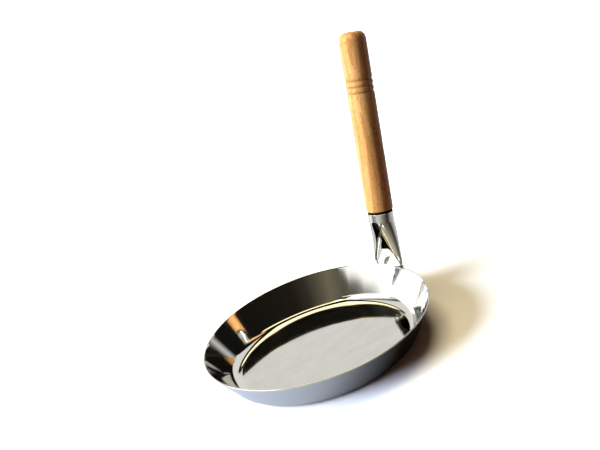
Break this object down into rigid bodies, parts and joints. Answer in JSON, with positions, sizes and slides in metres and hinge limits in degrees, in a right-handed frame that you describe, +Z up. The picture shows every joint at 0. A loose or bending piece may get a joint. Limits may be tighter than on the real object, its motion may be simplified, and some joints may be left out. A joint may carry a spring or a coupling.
{
  "type": "oyakodon pan",
  "caption": "Small shallow round pan in polished steel with a flared wall and an upright turned wooden grip in a rolled sheet socket, for simmering a rice bowl topping over a flame.",
  "frame": {"origin": "middle of the bowl's flat underside, where it rests", "axes": "+Z up along the bowl's axis, +X towards the handle, +Y to its left"},
  "size_m": [0.2041, 0.165, 0.1971],
  "materials": {
    "bowl_steel": "mirror-polished stainless steel",
    "socket_steel": "mirror-polished stainless steel",
    "beech": "turned beech, fine-sanded and lightly oiled",
    "nail_steel": "plain steel nail"
  },
  "bodies": {
    "root": {"pan_body": "bowl_steel", "handle_socket": "socket_steel", "wooden_grip": "beech", "grip_nail": "nail_steel"}
  },
  "joints": []
}
